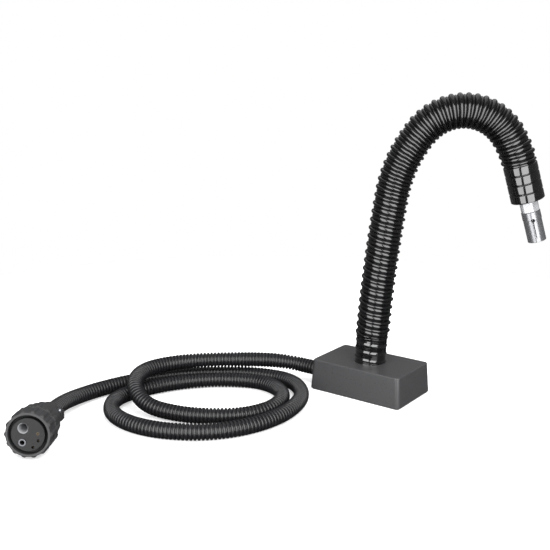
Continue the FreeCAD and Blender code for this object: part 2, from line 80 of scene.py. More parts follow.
# The supply hose's route, as in the design, and the plug's frame
FLOOR_LIE = 9.3 * MM
MOUNTS = {mount["name"]: mount for mount in frame["record"]["mounts"]}
PLUG_FRONT = Vector(MOUNTS["plug_coupling"]["pos_m"])
FACE_AXIS = Vector(MOUNTS["plug_coupling"]["axis"]).normalized()
FACE_RIGHT = (-FACE_AXIS).cross(Vector((0, 0, 1))).normalized()
HOSE_END = 62.0 * MM
SUCTION_AT, AIR_AT = (-5.1, 6.5), (-5.8, -7.9)
CONTACTS_AT = ((10.3, 1.2), (10.3, -6.1), (4.7, -13.0))
# How far each contact's front stands from the face, in mm
CONTACT_FRONTS = (-0.6, -3.5, -3.5)
HOSE_ROUTE = [
    (-0.069, -0.014, 0.0175), (-0.088, -0.014, 0.0175), (-0.106, -0.021, 0.020), (-0.124, -0.040, 0.025),
    (-0.153, -0.078, 0.030), (-0.188, -0.109, 0.030), (-0.211, -0.144, 0.030), (-0.216, -0.180, 0.030),
    (-0.198, -0.212, 0.026), (-0.165, -0.226, 0.013), (-0.124, -0.217, FLOOR_LIE),
    (-0.084, -0.198, FLOOR_LIE), (-0.054, -0.168, FLOOR_LIE), (-0.046, -0.126, FLOOR_LIE),
    (-0.067, -0.088, FLOOR_LIE), (-0.108, -0.076, FLOOR_LIE), (-0.146, -0.094, FLOOR_LIE),
    (-0.176, -0.120, FLOOR_LIE), (-0.198, -0.152, FLOOR_LIE), (-0.212, -0.189, FLOOR_LIE),
    (-0.214, -0.229, FLOOR_LIE), (-0.186, -0.259, FLOOR_LIE), (-0.145, -0.269, FLOOR_LIE),
    (-0.100, -0.260, FLOOR_LIE), (-0.057, -0.231, FLOOR_LIE), (-0.031, -0.186, FLOOR_LIE),
    (-0.025, -0.132, FLOOR_LIE), (-0.043, -0.079, FLOOR_LIE), (-0.084, -0.049, FLOOR_LIE),
    (-0.134, -0.060, FLOOR_LIE), (-0.177, -0.087, FLOOR_LIE), (-0.213, -0.119, FLOOR_LIE),
    (-0.236, -0.161, FLOOR_LIE), (-0.250, -0.204, FLOOR_LIE), (-0.252, -0.248, 0.011),
    tuple(PLUG_FRONT - FACE_AXIS * 0.108), tuple(PLUG_FRONT - FACE_AXIS * HOSE_END),
]
HOSE_SEGMENTS = 28
# One ring of the hose: (part of a pitch, part of the way from groove to crest)
HOSE_RING = ((0.0, 0.0), (0.20, 0.0), (0.30, 0.72), (0.40, 1.0), (0.78, 1.0), (0.90, 0.72))

# The neck hose, in mm: how strongly a bend widens the rib on its outside, the widest half rib as part
# of a pitch, where the hose starts and ends, and the half length over which it blends at each hinge
RIB_SEGMENTS = 64
RIB_SPREAD = 32.0
RIB_MOST = 0.43
HOSE_FOOT, HOSE_TIP = 2.0, SLEEVE_TO - 13.0
# Under a cuff the hose is drawn in by this gap, over this length
UNDER_CUFF_GAP, UNDER_CUFF_FADE = 0.15, 2.5

# The cuffs, in mm: the foot cuff's ridges over the ribs (their spread is part of a pitch), its gap over
# the base, and the grooves between the tip cuff's bands
RIDGE_HEIGHT, RIDGE_SPREAD, RIDGE_FADE = 0.9, 0.10, 3.0
SEAT_GAP = 0.05
SLEEVE_BANDS = 4
BAND_GROOVE, BAND_EDGE, BAND_EASE = 0.95, 1.1, 1.9

# The plug, in mm: the grip ring's lobes, the flats round the shell's waist, the back nut's flats, and
# the gap and the rounding (as part of the wall) of each port
LOBE_RADIUS, LOBE_HEIGHT, LOBES_FROM = 2.9, 1.6, 21.0
WAIST_LOW, WAIST_HIGH, WAIST_FLATS, WAIST_FROM = -50.5, -38.0, 19.6, 17.0
BACK_NUT_FLATS = 18.25
DRILL_GAP, LIP_SHARE = 0.05, 0.12

# The nozzle, in mm: its bores, wrench flats and raised step, and the hole and slit cut from the side
COLLAR_BORE, SPIGOT_RADIUS, SLEEVE_BORE = 5.6, 7.95, 8.0
FLATS_FROM, FLATS_INSIDE = SLEEVE_TO + 2.0, 9.0
STEP_HEIGHT = 0.35
HOLE_RADIUS = 2.4
CUT_FROM, CUT_TO = 2.0, 14.0
SLIT_TURN = math.radians(191.5)

# The stage, in metres but for the lens and its sensor
CAMERA_AT = (0.51363, -0.88720, 0.38997)
CAMERA_RIGHT, CAMERA_BACK = (0.80246, 0.59670, 0.0), (0.58035, -0.78046, 0.23254)
CAMERA_LENS, CAMERA_SENSOR = 56.95, 36.0
TO_CAMERA = (0.501, -0.865, 0.0)
LIGHTS_AIM = (0.0, 0.0, 0.2)
FLOOR_CENTRE = (-0.1, -0.1, -0.0002)
CARD_DEPTH = 0.001
FLOOR_RADIUS = 0.8
# The black cards that the gloss mirrors under the base and under the hose: (x, y, radius), in metres
BLACK_CARDS = ((0.0, 0.0, 0.245), (-0.18, -0.19, 0.18))
LIGHT_DISTANCE = 1.0
# Each light's turn from the camera's direction as seen from the neck and its rise, in degrees,
# its width and height in metres, its share of the light power, and whether gloss mirrors it
STUDIO_LIGHTS = (("left_light", -30.0, 8.0, 0.80, 1.75, 0.85, True),
                 ("right_light", 27.0, 8.0, 0.80, 1.75, 0.9, True),
                 ("back_light", 180.0, 60.0, 1.2, 1.2, 0.09, True),
                 ("top_light", 90.0, 80.0, 1.4, 1.4, 0.7, False))


def linear(colour):
    """An sRGB hex colour as linear red, green and blue."""
    channels = [int(colour[i:i + 2], 16) / 255.0 for i in (1, 3, 5)]
    return [c / 12.92 if c <= 0.04045 else ((c + 0.055) / 1.055) ** 2.4 for c in channels]


def colour_property(name, description, colour):
    return FloatVectorProperty(name=name, description=description, default=linear(colour),
                               size=3, min=0.0, max=1.0, subtype="COLOR")


def length_property(name, description, size):
    return FloatProperty(name=name, description=description, default=size * MM,
                         subtype="DISTANCE", unit="LENGTH")


class BaseSettings(bpy.types.PropertyGroup):
    colour: colour_property("Coat colour", "Colour of the powder coat on the base", "#343435")
    grain: length_property("Coat grain", "Size of the bumps in the powder coat", 1.3)


class NeckSettings(bpy.types.PropertyGroup):
    rib_radius: length_property("Rib radius", "Outside radius over the helical rib", 20.75)
    wall_radius: length_property("Wall radius", "Radius of the wall half way between ribs", 18.85)
    bore: length_property("Bore", "Inside radius of the hose", 17.0)
    rib_width: length_property("Rib width", "Width of the helical rib", 4.4)
    wall_bulge: length_property("Wall bulge", "How far the wall stands out between ribs", 1.25)
    colour: colour_property("Hose colour", "Colour of the neck hose and its cuffs", "#0B0B0C")


class CuffSettings(bpy.types.PropertyGroup):
    boot_radius: length_property("Foot cuff radius", "Outside radius of the cuff at the foot", 19.5)
    sleeve_radius: length_property("Tip cuff radius", "Outside radius of the cuff at the tip", 19.7)
    bore: length_property("Cuff bore", "Inside radius of both cuffs", 18.3)


class NozzleSettings(bpy.types.PropertyGroup):
    radius: length_property("Nozzle radius", "Outside radius of the nozzle", 10.75)
    bore: length_property("Nozzle bore", "Inside radius of the slit end", 8.5)
    flats: length_property("Wrench flats", "Distance across the collar's flats", 19.8)
    slit: length_property("Slit width", "Width of the slit", 1.2)
    colour: colour_property("Plating colour", "Colour of the chrome plating", "#7E7F81")


class HoseSettings(bpy.types.PropertyGroup):
    radius: length_property("Hose radius", "Outside radius over the rings", 9.25)
    groove_radius: length_property("Groove radius", "Radius in the grooves between rings", 7.6)
    pitch: length_property("Ring pitch", "Distance from ring to ring", 4.3)
    colour: colour_property("Hose colour", "Colour of the supply hose", "#121214")


class PlugSettings(bpy.types.PropertyGroup):
    lobes: IntProperty(name="Lobes", description="Grip lobes round the coupling ring", default=14, min=6)
    radius: length_property("Ring radius", "Outside radius of the coupling ring", 25.0)
    length: length_property("Ring length", "Length of the coupling ring", 30.0)
    colour: colour_property("Plastic colour", "Colour of the plug's moulded parts", "#29292A")
    face_colour: colour_property("Face colour", "Colour of the plug's face", "#111112")


class StageSettings(bpy.types.PropertyGroup):
    floor_colour: colour_property("Floor colour", "Colour of the floor", "#D2D2D2")
    light_power: FloatProperty(name="Light power", default=20.5, min=0.0, unit="POWER",
                               description="Power of each soft light, for each square metre")
    surround: FloatProperty(name="Surround", description="Brightness of the studio round the object",
                            default=0.12, min=0.0)


class FumeArmSettings(bpy.types.PropertyGroup):
    base: PointerProperty(type=BaseSettings)
    neck: PointerProperty(type=NeckSettings)
    cuffs: PointerProperty(type=CuffSettings)
    nozzle: PointerProperty(type=NozzleSettings)
    hose: PointerProperty(type=HoseSettings)
    plug: PointerProperty(type=PlugSettings)
    stage: PointerProperty(type=StageSettings)


def settings():
    return bpy.context.scene.fume_arm


# Shader nodes

def add(tree, kind, inputs=(), **own):
    """Adds a shader node. inputs maps an input's name or number to a value or to another node's output."""
    node = tree.nodes.new("ShaderNode" + kind)
    for name, value in own.items():
        setattr(node, name, value)
    for name, value in dict(inputs).items():
        if isinstance(value, bpy.types.NodeSocket):
            tree.links.new(value, node.inputs[name])
        else:
            node.inputs[name].default_value = value
    return node


def finish_of(name, colour, roughness, grain, **surface):
    """A material with a fine grain: it mottles the colour, varies the gloss and raises small bumps.

    grain is (size mm, bump height mm, change of colour, change of roughness).
    """
    found = bpy.data.materials.get(name)
    if found:
        return found
    material = bpy.data.materials.new(name)
    material.use_nodes = True
    tree = material.node_tree
    shader = tree.nodes["Principled BSDF"]
    size, height, mottle, gloss_change = grain
    place = add(tree, "TexCoord").outputs["Object"]
    noise = add(tree, "TexNoise", {"Vector": place, "Scale": 1.0 / (size * MM), "Detail": 4.0,
                                   "Roughness": 0.6}).outputs["Fac"]
    dark = tuple(c * (1.0 - mottle) for c in colour) + (1.0,)
    light = tuple(min(1.0, c * (1.0 + mottle)) for c in colour) + (1.0,)
    # A Mix node's colour sockets are numbers 6 and 7
    tint = add(tree, "Mix", {"Factor": noise, 6: dark, 7: light}, data_type="RGBA")
    gloss = add(tree, "MapRange", {"Value": noise, "From Min": 0.3, "From Max": 0.7,
                                   "To Min": max(0.02, roughness - gloss_change),
                                   "To Max": roughness + gloss_change})
    bump = add(tree, "Bump", {"Height": noise, "Distance": height * MM, "Strength": 1.0})
    tree.links.new(tint.outputs[2], shader.inputs["Base Color"])
    tree.links.new(gloss.outputs["Result"], shader.inputs["Roughness"])
    tree.links.new(bump.outputs["Normal"], shader.inputs["Normal"])
    for socket, value in surface.items():
        shader.inputs[socket.replace("_", " ")].default_value = value
    return material


# Finishes. A grain too fine to show is drawn as coarse as it needs to be.

def powder_coat():
    """Polyester powder coat on a die casting: matt, with a fine pebbled grain."""
    base = settings().base
    return finish_of("powder_coat", base.colour, 0.32, (base.grain / MM, 0.04, 0.10, 0.06))


def glossy_pvc():
    """Plasticised PVC wall and rib: wet-looking black, with a slight ripple from extrusion."""
    return finish_of("glossy_pvc", settings().neck.colour, 0.18, (3.0, 0.04, 0.15, 0.05),
                     Coat_Weight=0.45, Coat_Roughness=0.08)


def shrink_film():
    """Polyolefin shrink film: black and very glossy, drawn smooth over the ribs."""
    return finish_of("shrink_film", settings().neck.colour, 0.12, (5.0, 0.03, 0.10, 0.03),
                     Coat_Weight=1.0, Coat_Roughness=0.04)


def chrome_plate():
    """Satin chrome over turned brass: a hazy mirror, partly scattered by its fine turning marks."""
    return finish_of("chrome_plate", settings().nozzle.colour, 0.27, (1.5, 0.001, 0.03, 0.03), Metallic=0.78)


def satin_nickel():
    """Satin nickel over a turned collar: pale, scattering, with a broad soft shine."""
    return finish_of("satin_nickel", linear("#A9AAAC"), 0.45, (1.2, 0.01, 0.03, 0.06), Metallic=0.5)


def dull_nickel():
    """Satin nickel plating on the air tube: a soft grey shine."""
    return finish_of("dull_nickel", linear("#58595C"), 0.46, (1.2, 0.006, 0.05, 0.06), Metallic=1.0)


def conduit_polyamide():
    """Corrugated polyamide: dark grey, satin, with a row of soft glints along the rings."""
    return finish_of("conduit_polyamide", settings().hose.colour, 0.36, (4.0, 0.04, 0.12, 0.06))


def filled_polyamide():
    """Glass-filled polyamide, moulded with a spark-eroded texture: dull, faintly speckled."""
    return finish_of("filled_polyamide", settings().plug.colour, 0.55, (1.6, 0.10, 0.18, 0.07),
                     Specular_IOR_Level=0.35)


def face_polyamide():
    """The plug's insert, moulded smoother than its shell."""
    return finish_of("face_polyamide", settings().plug.face_colour, 0.62, (1.4, 0.03, 0.08, 0.05),
                     Specular_IOR_Level=0.3)


def zinc_steel():
    """Zinc plated steel: light grey, cloudy."""
    return finish_of("zinc_steel", linear("#B9BCC0"), 0.34, (6.0, 0.01, 0.10, 0.10), Metallic=1.0)


def black_steel():
    """Blackened spring steel."""
    return finish_of("black_steel", linear("#4A4B4D"), 0.38, (2.0, 0.01, 0.10, 0.08), Metallic=1.0)


def cast_iron():
    """Rough grey casting with a sandy skin."""
    return finish_of("cast_iron", linear("#4C4B4A"), 0.72, (2.5, 0.25, 0.25, 0.10), Metallic=0.6)


def turned_aluminium():
    """Turned aluminium, left bare."""
    return finish_of("turned_aluminium", linear("#C6C8CA"), 0.30, (1.0, 0.01, 0.06, 0.08), Metallic=1.0)


def turned_brass():
    """Turned brass, slightly dulled."""
    return finish_of("turned_brass", linear("#4A4236"), 0.38, (1.0, 0.01, 0.10, 0.08), Metallic=1.0)


def black_nylon():
    """Moulded nylon fittings: black, satin."""
    return finish_of("black_nylon", linear("#232325"), 0.42, (2.0, 0.03, 0.10, 0.06))


def matt_paper():
    """Plain matt studio paper, glowing faintly so that it stays clear white."""
    return finish_of("matt_paper", settings().stage.floor_colour, 0.9, (40.0, 0.02, 0.01, 0.02),
                     Emission_Color=(1.0, 1.0, 1.0, 1.0), Emission_Strength=0.45)


def pad_rubber():
    """Solid rubber sheet: dull black with a rubbed look."""
    return finish_of("pad_rubber", linear("#1B1B1B"), 0.80, (2.0, 0.08, 0.20, 0.08))


def seal_rubber():
    """Soft black gasket rubber, dull enough for the stage's black cards too."""
    return finish_of("seal_rubber", linear("#0C0C0C"), 0.75, (1.5, 0.04, 0.20, 0.05))


def silicone_duct():
    """Milky silicone tube."""
    return finish_of("silicone_duct", linear("#B8B5AE"), 0.35, (5.0, 0.02, 0.06, 0.05))


def blue_polyurethane():
    """Blue polyurethane air line."""
    return finish_of("blue_polyurethane", linear("#2C5C9E"), 0.28, (4.0, 0.01, 0.08, 0.05))


def lead_pvc():
    """Black PVC lead."""
    return finish_of("lead_pvc", linear("#1A1A1A"), 0.40, (3.0, 0.01, 0.10, 0.05))


def grey_port():
    """Light grey moulded port, smooth inside."""
    return finish_of("grey_port", linear("#8A8B8D"), 0.45, (3.0, 0.01, 0.05, 0.05))


# Mesh tools

def new_piece(name, points, faces, material, crease=35.0):
    """A piece from points and faces: doubles merged, smooth but for edges sharper than crease degrees."""
    mesh = bpy.data.meshes.new(name)
    mesh.from_pydata([tuple(point) for point in points], [], faces)
    work = bmesh.new()
    work.from_mesh(mesh)
    bmesh.ops.remove_doubles(work, verts=work.verts, dist=1e-7)
    bmesh.ops.dissolve_degenerate(work, dist=1e-7, edges=work.edges)
    bmesh.ops.recalc_face_normals(work, faces=work.faces)
    for face in work.faces:
        face.smooth = True
    work.to_mesh(mesh)
    work.free()
    mesh.set_sharp_from_angle(angle=math.radians(crease))
    piece = bpy.data.objects.new(name, mesh)
    bpy.context.scene.collection.objects.link(piece)
    mesh.materials.append(material)
    return piece


def ring_faces(rows, size, row_loop, ring_loop):
    """Quads between neighbouring rows of equal size; each kind of loop may close on itself."""
    faces = []
    for i in range(rows if row_loop else rows - 1):
        here, there = i * size, ((i + 1) % rows) * size
        for j in range(size if ring_loop else size - 1):
            k = (j + 1) % size
            faces.append((here + j, here + k, there + k, there + j))
    return faces


def rounded(corners, steps=4):
    """The closed outline through (x, y, radius) corners, each rounded by an arc of its radius, in metres."""
    outline = []
    for i, (x, y, radius) in enumerate(corners):
        corner = Vector((x, y))
        if radius == 0.0:
            outline.append(corner)
            continue
        before = Vector(corners[i - 1][:2]) - corner
        after = Vector(corners[(i + 1) % len(corners)][:2]) - corner
        half = before.angle(after) / 2.0
        middle = (before.normalized() + after.normalized()).normalized()
        centre = corner + middle * (radius / math.sin(half))
        start = corner + before.normalized() * (radius / math.tan(half)) - centre
        end = corner + after.normalized() * (radius / math.tan(half)) - centre
        sweep = start.angle(end)
        side = 1.0 if start.cross(end) > 0.0 else -1.0
        for k in range(steps + 1):
            outline.append(centre + Matrix.Rotation(side * sweep * k / steps, 2) @ start)
    return [(point.x * MM, point.y * MM) for point in outline]


def lathe(name, corners, material, place, segments=96, shape=None, crease=35.0):
    """Turns a closed outline of (radius, height, rounding) corners about Z, then sets it in place.

    shape(angle, radius, height) gives the radius at that angle, for flats, lobes and waves.
    """
    outline = rounded(corners)
    points = []
    for i in range(segments):
        angle = 2.0 * math.pi * i / segments
        for radius, height in outline:
            r = max(0.0, shape(angle, radius, height) if shape else radius)
            points.append(place @ Vector((r * math.cos(angle), r * math.sin(angle), height)))
    faces = ring_faces(segments, len(outline), True, True)
    return new_piece(name, points, faces, material, crease)


def frame_at(origin, z_axis, x_axis):
    """The matrix that takes a piece built about Z to this place, with its Z and X along these axes."""
    z = z_axis.normalized()
    y = z.cross(x_axis).normalized()
    x = y.cross(z)
    return Matrix.Translation(origin) @ Matrix((x, y, z)).transposed().to_4x4()


def cut(piece, name, points, faces):
    """Takes a closed tool shape out of a piece, and shades what is left flat."""
    mesh = bpy.data.meshes.new(name)
    mesh.from_pydata([tuple(point) for point in points], [], faces)
    tool = bpy.data.objects.new(name, mesh)
    bpy.context.scene.collection.objects.link(tool)
    modifier = piece.modifiers.new("cut", "BOOLEAN")
    modifier.object = tool
    modifier.operation = "DIFFERENCE"
    modifier.solver = "EXACT"
    bpy.context.view_layer.update()
    evaluated = piece.evaluated_get(bpy.context.evaluated_depsgraph_get())
    result = bpy.data.meshes.new_from_object(evaluated)
    piece.modifiers.clear()
    piece.data = result
    bpy.data.objects.remove(tool)
    for polygon in result.polygons:
        polygon.use_smooth = False


def drill(piece, radius, low, high, place, segments=40):
    """Drills a round hole from low to high along the Z of place."""
    points, sides = [], []
    for height in (low, high):
        for i in range(segments):
            angle = 2.0 * math.pi * i / segments
            points.append(place @ Vector((radius * math.cos(angle), radius * math.sin(angle), height)))
    for i in range(segments):
        k = (i + 1) % segments
        sides.append((i, k, segments + k, segments + i))
    ends = [tuple(reversed(range(segments))), tuple(range(segments, 2 * segments))]
    cut(piece, "drill", points, sides + ends)


def show_node(name, material):
    """Gives a CAD node that stays in view its finish."""
    for material_slot in frame["nodes"][name].material_slots:
        material_slot.material = material


def smooth_route():
    """Points along the supply hose's smooth line."""
    data = bpy.data.curves.new("hose_line", "CURVE")
    data.dimensions = "3D"
    spline = data.splines.new("NURBS")
    spline.points.add(len(HOSE_ROUTE) - 1)
    for point, place in zip(spline.points, HOSE_ROUTE):
        point.co = (*place, 1.0)
    spline.order_u = 3
    spline.use_endpoint_u = True
    spline.resolution_u = 16
    holder = bpy.data.objects.new("hose_line", data)
    line = bpy.data.meshes.new_from_object(holder)
    path = [vertex.co.copy() for vertex in line.vertices]
    bpy.data.meshes.remove(line)
    bpy.data.objects.remove(holder)
    bpy.data.curves.remove(data)
    return path


# The neck's centreline

def in_plane(along, up):
    """A vector of the neck's upright plane: along its heading, and up."""
    return Vector((along * math.cos(HEADING), along * math.sin(HEADING), up))


NECK_NORMAL = Vector((-math.sin(HEADING), math.cos(HEADING), 0.0))


def station(distance):
    """Point, direction, inward direction of the bend and curvature, at mm along the neck."""
    along, up, lean, bend = 0.0, BASE_TOP, NECK_FOOT_LEAN, 0.0
    for length, turn, _pitch in NECK_ARCS:
        part = max(0.0, min(distance, length))
        radius = length / math.radians(turn)
        before = math.radians(lean)
        after = before + math.radians(turn * part / length)
        along += radius * (math.cos(before) - math.cos(after))
        up += radius * (math.sin(after) - math.sin(before))
        lean = math.degrees(after)
        if 0.0 <= distance <= length:
            bend = 1.0 / radius
        distance -= length
    angle = math.radians(lean)
    beyond = max(0.0, distance)
    along += beyond * math.sin(angle)
    up += beyond * math.cos(angle)
    direction = in_plane(math.sin(angle), math.cos(angle))
    inward = in_plane(math.cos(angle), -math.sin(angle))
    return in_plane(along, up) * MM, direction, inward, bend


def ribs_at(distance):
    """How many ribs lie below this point of the neck, at its inner side, and the local pitch in mm."""
    count = -RIB_PHASE
    for length, _turn, pitch in NECK_ARCS:
        if distance <= length:
            return count + distance / pitch, pitch
        count += length / pitch
        distance -= length
    return count + distance / TIP_RIB_PITCH, TIP_RIB_PITCH


def at_rib(count):
    """The distance along the neck, in mm, of this count of ribs."""
    count += RIB_PHASE
    distance = 0.0
    for length, _turn, pitch in NECK_ARCS:
        if count <= length / pitch:
            return distance + count * pitch
        count -= length / pitch
        distance += length
    return distance + count * TIP_RIB_PITCH


def neck_frame(distance):
    """The matrix that stands a piece on the neck's centreline, with X towards the inside of the bend."""
    point, direction, inward, _bend = station(distance)
    return frame_at(point, direction, inward)


def tip_frame():
    """The tip's straight axis, with Z = 0 where the base's top would be if the neck were straight."""
    point, direction, inward, _bend = station(SLEEVE_TO)
    return frame_at(point - direction * SLEEVE_TO * MM, direction, inward)


# Pieces of the neck

def rib_section(distance, angle):
    """(turns from the rib's middle, radius in metres) across one pitch of the wall and its rib."""
    neck = settings().neck
    _count, pitch = ribs_at(distance)
    _point, _direction, _inward, bend = station(distance)
    local = pitch * (1.0 - bend * neck.rib_radius / MM * math.cos(angle))
    # The film is pulled up against the rib on the outside of a bend
    spread = 1.0 + RIB_SPREAD * bend * max(0.0, -math.cos(angle))
    half = min(RIB_MOST, 0.5 * spread * neck.rib_width / MM / local)
    shoulder = neck.wall_radius - neck.wall_bulge
    section = []
    for t in (0.0, 0.25, 0.5, 0.75):
        section.append((-0.5 + (0.5 - half) * t, neck.wall_radius - neck.wall_bulge * t * t))
    for degrees in range(-90, 91, 15):
        rise = math.cos(math.radians(degrees))
        section.append((half * math.sin(math.radians(degrees)),
                        shoulder + (neck.rib_radius - shoulder) * rise))
    for t in (0.75, 0.5, 0.25, 0.0):
        section.append((0.5 - (0.5 - half) * t, neck.wall_radius - neck.wall_bulge * t * t))
    return section


def under_cuff(distance, radius):
    """The radius, drawn in to what fits under a cuff."""
    fits = settings().cuffs.bore - UNDER_CUFF_GAP * MM
    from_boot = max(0.0, (distance - BOOT_END) / UNDER_CUFF_FADE)
    to_sleeve = max(0.0, (SLEEVE_FROM - distance) / UNDER_CUFF_FADE)
    show = min(1.0, from_boot, to_sleeve)
    return min(radius, fits) * (1.0 - show) + radius * show


def helical_stretch(name, first, last):
    """The wall and rib from one count of ribs to another, closed, with helical ends half way between ribs."""
    steps = round((last - first) * RIB_SEGMENTS)
    bore = settings().neck.bore
    points, faces = [], []
    for i in range(steps + 1):
        turns = first + i / RIB_SEGMENTS
        angle = 2.0 * math.pi * turns
        section = rib_section(at_rib(turns), angle)
        for shift, radius in section + [(0.5, bore), (-0.5, bore)]:
            distance = at_rib(turns + shift)
            point, _direction, inward, _bend = station(distance)
            if radius > bore:
                radius = under_cuff(distance, radius)
            outward = inward * math.cos(angle) - NECK_NORMAL * math.sin(angle)
            points.append(point + outward * radius)
    size = len(section) + 2
    outer_last, inner_high, inner_low = size - 3, size - 2, size - 1
    for i in range(steps):
        here, there = i * size, (i + 1) * size
        for j in range(outer_last):
            faces.append((here + j, there + j, there + j + 1, here + j + 1))
        faces.append((here + inner_high, there + inner_high, there + inner_low, here + inner_low))
        if i < RIB_SEGMENTS:
            faces.append((here + inner_low, there + inner_low, there, here))
        if i >= steps - RIB_SEGMENTS:
            faces.append((here + outer_last, there + outer_last, there + inner_high, here + inner_high))
    faces.append(tuple(range(size)))
    faces.append(tuple(steps * size + j for j in reversed(range(size))))
    return new_piece(name, points, faces, glossy_pvc(), crease=50.0)


# Operators, one for each piece or group of like pieces

class FUMEARM_OT_stage(bpy.types.Operator):
    """Sets up the camera, the floor, the soft lights, the black cards and a plain surround"""
    bl_idname = "fume_arm.stage"
    bl_label = "Stage"

    def execute(self, context):
        scene = context.scene
        stage = settings().stage
        scene.view_settings.view_transform = "Standard"

        camera = bpy.data.objects.new("camera", bpy.data.cameras.new("camera"))
        scene.collection.objects.link(camera)
        camera.matrix_world = frame_at(Vector(CAMERA_AT), Vector(CAMERA_BACK), Vector(CAMERA_RIGHT))
        camera.data.lens = CAMERA_LENS
        camera.data.sensor_width = CAMERA_SENSOR
        scene.camera = camera

        floor_mesh = bpy.data.meshes.new("floor")
        work = bmesh.new()
        bmesh.ops.create_circle(work, cap_ends=True, radius=FLOOR_RADIUS, segments=96)
        work.to_mesh(floor_mesh)
        work.free()
        floor = bpy.data.objects.new("floor", floor_mesh)
        floor.location = FLOOR_CENTRE
        scene.collection.objects.link(floor)
        floor_mesh.materials.append(matt_paper())
        # The gloss on the arm mirrors black cards just under the floor, and past them the studio
        floor.visible_glossy = False
        for i, (x, y, radius) in enumerate(BLACK_CARDS):
            card_mesh = floor_mesh.copy()
            card_mesh.transform(Matrix.Scale(radius / FLOOR_RADIUS, 4))
            card_mesh.materials.clear()
            card_mesh.materials.append(seal_rubber())
            card = bpy.data.objects.new("black_card_%d" % (i + 1), card_mesh)
            card.location = (x, y, -CARD_DEPTH - CARD_DEPTH * i)
            card.visible_camera = False
            card.visible_diffuse = False
            card.visible_shadow = False
            scene.collection.objects.link(card)

        for name, turn, rise, width, height, share, mirrored in STUDIO_LIGHTS:
            light = bpy.data.lights.new(name, "AREA")
            light.shape = "RECTANGLE"
            light.size = width
            light.size_y = height
            light.energy = stage.light_power * width * height * share
            towards = Matrix.Rotation(math.radians(turn), 3, "Z") @ Vector(TO_CAMERA)
            towards = towards * math.cos(math.radians(rise)) + Vector((0, 0, math.sin(math.radians(rise))))
            holder = bpy.data.objects.new(name, light)
            holder.matrix_world = frame_at(Vector(LIGHTS_AIM) + towards * LIGHT_DISTANCE,
                                           towards, Vector((0, 0, 1)).cross(towards))
            holder.visible_camera = False
            holder.visible_glossy = mirrored
            scene.collection.objects.link(holder)

        world = bpy.data.worlds.new("studio")
        scene.world = world
        world.use_nodes = True
        tree = world.node_tree
        seen = add(tree, "LightPath").outputs["Is Camera Ray"]
        strength = add(tree, "MapRange", {"Value": seen, "To Min": stage.surround, "To Max": 1.0})
        tree.links.new(strength.outputs["Result"], tree.nodes["Background"].inputs["Strength"])
        tree.nodes["Background"].inputs["Color"].default_value = (1.0, 1.0, 1.0, 1.0)
        return {"FINISHED"}


class FUMEARM_OT_supply_hose(bpy.types.Operator):
    """Makes the ringed supply hose along its smooth route"""
    bl_idname = "fume_arm.supply_hose"
    bl_label = "Supply hose"

    def execute(self, context):
        hose = settings().hose
        path = smooth_route()
        lengths = [0.0]
        for before, after in zip(path, path[1:]):
            lengths.append(lengths[-1] + (after - before).length)
        rings = round(lengths[-1] / hose.pitch)
        rows = []
        for i in range(rings):
            for part, height in HOSE_RING:
                radius = hose.groove_radius + (hose.radius - hose.groove_radius) * height
                rows.append(((i + part) / rings * lengths[-1], radius))
        rows.append((lengths[-1], hose.groove_radius))

        points, segment = [], 0
        side = Vector((0.0, 0.0, 1.0))
        for distance, radius in rows:
            while segment < len(path) - 2 and lengths[segment + 1] < distance:
                segment += 1
            part = (distance - lengths[segment]) / (lengths[segment + 1] - lengths[segment])
            centre = path[segment].lerp(path[segment + 1], part)
            before = path[max(segment - 1, 0)]
            after = path[min(segment + 2, len(path) - 1)]
            ahead = ((path[segment + 1] - before).lerp(after - path[segment], part)).normalized()
            side = (side - ahead * side.dot(ahead)).normalized()
            across = ahead.cross(side)
            for k in range(HOSE_SEGMENTS):
                angle = 2.0 * math.pi * k / HOSE_SEGMENTS
                points.append(centre + (side * math.cos(angle) + across * math.sin(angle)) * radius)
        faces = ring_faces(len(rows), HOSE_SEGMENTS, False, True)
        faces.append(tuple(range(HOSE_SEGMENTS)))
        faces.append(tuple(len(points) - 1 - k for k in range(HOSE_SEGMENTS)))
        piece = new_piece("ringed_supply_hose", points, faces, conduit_polyamide(),
                          crease=60.0)
        piece["route"] = [coordinate for point in path for coordinate in point]
        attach(piece, "root")
        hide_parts("supply_hose")
        return {"FINISHED"}


